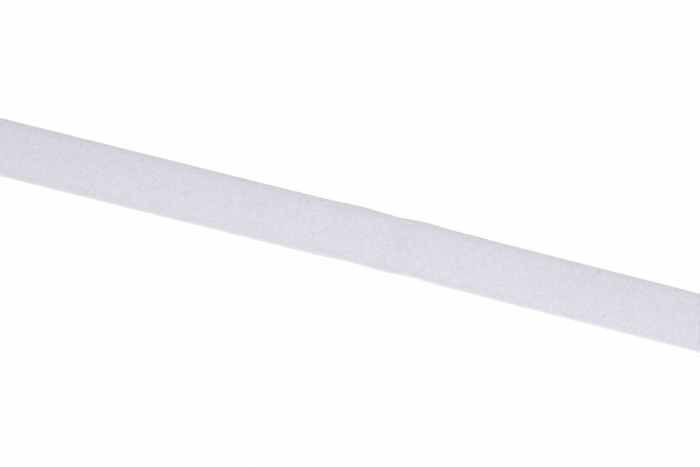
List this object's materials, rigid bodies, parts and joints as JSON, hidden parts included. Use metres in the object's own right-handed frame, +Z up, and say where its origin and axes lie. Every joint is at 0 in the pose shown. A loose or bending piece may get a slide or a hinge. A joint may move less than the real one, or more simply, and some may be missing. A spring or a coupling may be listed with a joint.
{
  "type": "hook and loop tape roll",
  "caption": "White double-sided hook and loop tape wound on a card core, with a straight stretch laid out flat, fuzzy loop side up, hooks underneath.",
  "frame": {"origin": "on the table under the middle of the whole object, on the underside of the laid-out tape", "axes": "+X along the laid-out tape from the roll to the cut end, +Y across the tape and along the roll's axis, +Z up from the table"},
  "size_m": [0.3778, 0.0208, 0.0954],
  "materials": {
    "loop_pile": "napped nylon loops, lavender white, fully matt",
    "ground_cloth": "warp-knitted nylon with a clear binder, matt",
    "hook_ribbon": "moulded polyamide ribbon with rows of small hooks, satin",
    "liner_card": "smooth grey card",
    "core_card": "brown card with visible fibres",
    "hot_melt": "amber hot melt"
  },
  "bodies": {
    "root": {"core_liner_ply": "liner_card", "core_body_ply": "core_card", "core_cover_ply": "core_card", "start_tack": "hot_melt", "wound_loop_pile": "loop_pile", "wound_ground_cloth": "ground_cloth", "wound_hook_strip": "hook_ribbon", "free_loop_pile": "loop_pile", "free_ground_cloth": "ground_cloth", "free_hook_strip": "hook_ribbon"}
  },
  "joints": []
}
